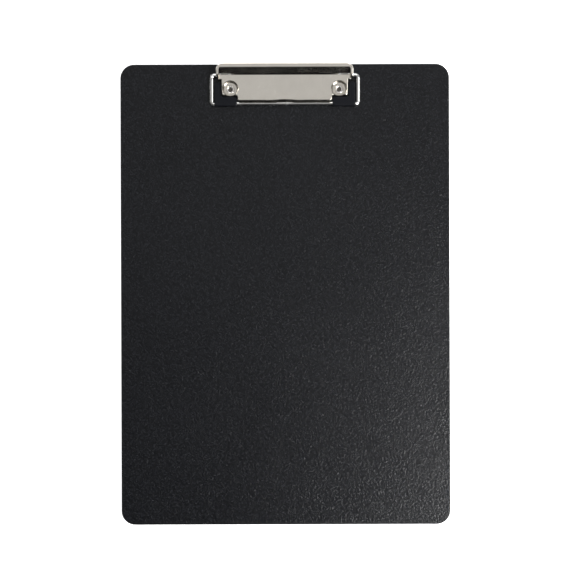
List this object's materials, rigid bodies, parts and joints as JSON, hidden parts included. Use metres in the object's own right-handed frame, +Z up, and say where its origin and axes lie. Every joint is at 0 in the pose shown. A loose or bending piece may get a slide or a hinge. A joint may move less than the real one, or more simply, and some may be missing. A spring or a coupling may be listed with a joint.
{
  "type": "clipboard",
  "caption": "Rigid A4 clipboard with a low wire clip: pressing the rear lip lifts a sprung wire jaw that grips paper at one short edge.",
  "frame": {"origin": "middle of the board's flat underside", "axes": "+X across the board's width, +Y along its length towards the clip, +Z up out of the writing face"},
  "size_m": [0.225, 0.315, 0.012],
  "materials": {
    "board_plastic": "matte black moulded plastic with a fine leather-like grain",
    "clip_metal": "nickel-plated pressed steel sheet, satin to bright",
    "wire_metal": "bright nickel-plated round wire",
    "rivet_metal": "bright nickel-plated tubular rivet",
    "pad_plastic": "smooth black plastic",
    "spring_steel": "plain spring wire"
  },
  "bodies": {
    "board_body": {"board": "board_plastic", "base_plate": "clip_metal", "rivet_left": "rivet_metal", "rivet_right": "rivet_metal", "torsion_spring_left": "spring_steel", "torsion_spring_right": "spring_steel"},
    "jaw": {"press_handle": "clip_metal", "jaw_wire": "wire_metal", "corner_pad_left": "pad_plastic", "corner_pad_right": "pad_plastic"}
  },
  "joints": [
    {"name": "jaw_lift", "type": "hinge", "parent": "board_body", "child": "jaw", "pos_m": [0, 0.1494, 0.0047], "axis": [-1, 0, 0], "range_deg": [0, 25], "stiffness_Nm_per_rad": 0.6, "springref_deg": -28.65, "deforming": ["torsion_spring_left", "torsion_spring_right"]}
  ]
}
